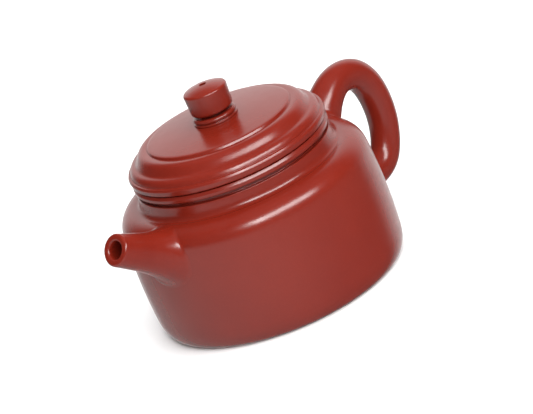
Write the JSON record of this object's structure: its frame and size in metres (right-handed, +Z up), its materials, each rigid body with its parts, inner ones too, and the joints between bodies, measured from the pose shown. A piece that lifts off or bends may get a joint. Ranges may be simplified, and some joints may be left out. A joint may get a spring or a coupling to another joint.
{
  "type": "clay teapot",
  "caption": "Round unglazed red clay teapot with a short straight spout, an ear-shaped handle and a stepped lift-off lid with a drum knob.",
  "frame": {"origin": "centre of the flat base, on the pot's axis, where it rests", "axes": "+Z up along the pot's axis; +X towards the handle, so the spout points to -X"},
  "size_m": [0.141, 0.0902, 0.0781],
  "materials": {
    "base_plate_clay": "unglazed burnished red clay, satin",
    "body_wall_clay": "unglazed burnished red clay, satin",
    "shoulder_plate_clay": "unglazed burnished red clay, satin",
    "neck_clay": "unglazed burnished red clay, satin",
    "mouth_ring_clay": "unglazed burnished red clay, satin",
    "spout_clay": "unglazed burnished red clay, satin",
    "strainer_clay": "unglazed burnished red clay, satin",
    "handle_clay": "unglazed burnished red clay, satin",
    "lid_rim_clay": "unglazed burnished red clay, satin",
    "lid_dome_clay": "unglazed burnished red clay, satin",
    "lid_plate_clay": "unglazed burnished red clay, satin",
    "lid_flange_clay": "unglazed burnished red clay, satin",
    "knob_bead_clay": "unglazed burnished red clay, satin",
    "knob_stem_clay": "unglazed burnished red clay, satin",
    "knob_clay": "unglazed burnished red clay, satin"
  },
  "bodies": {
    "pot": {"base_plate": "base_plate_clay", "body_wall": "body_wall_clay", "shoulder_plate": "shoulder_plate_clay", "neck": "neck_clay", "mouth_ring": "mouth_ring_clay", "spout": "spout_clay", "strainer": "strainer_clay", "handle": "handle_clay"},
    "lid": {"lid_rim": "lid_rim_clay", "lid_dome": "lid_dome_clay", "lid_plate": "lid_plate_clay", "lid_flange": "lid_flange_clay", "knob_bead": "knob_bead_clay", "knob_stem": "knob_stem_clay", "knob": "knob_clay"}
  },
  "joints": [
    {"name": "lid_lift", "type": "slide", "parent": "pot", "child": "lid", "axis": [0, 0, 1], "range_m": [0, 0.06]}
  ]
}
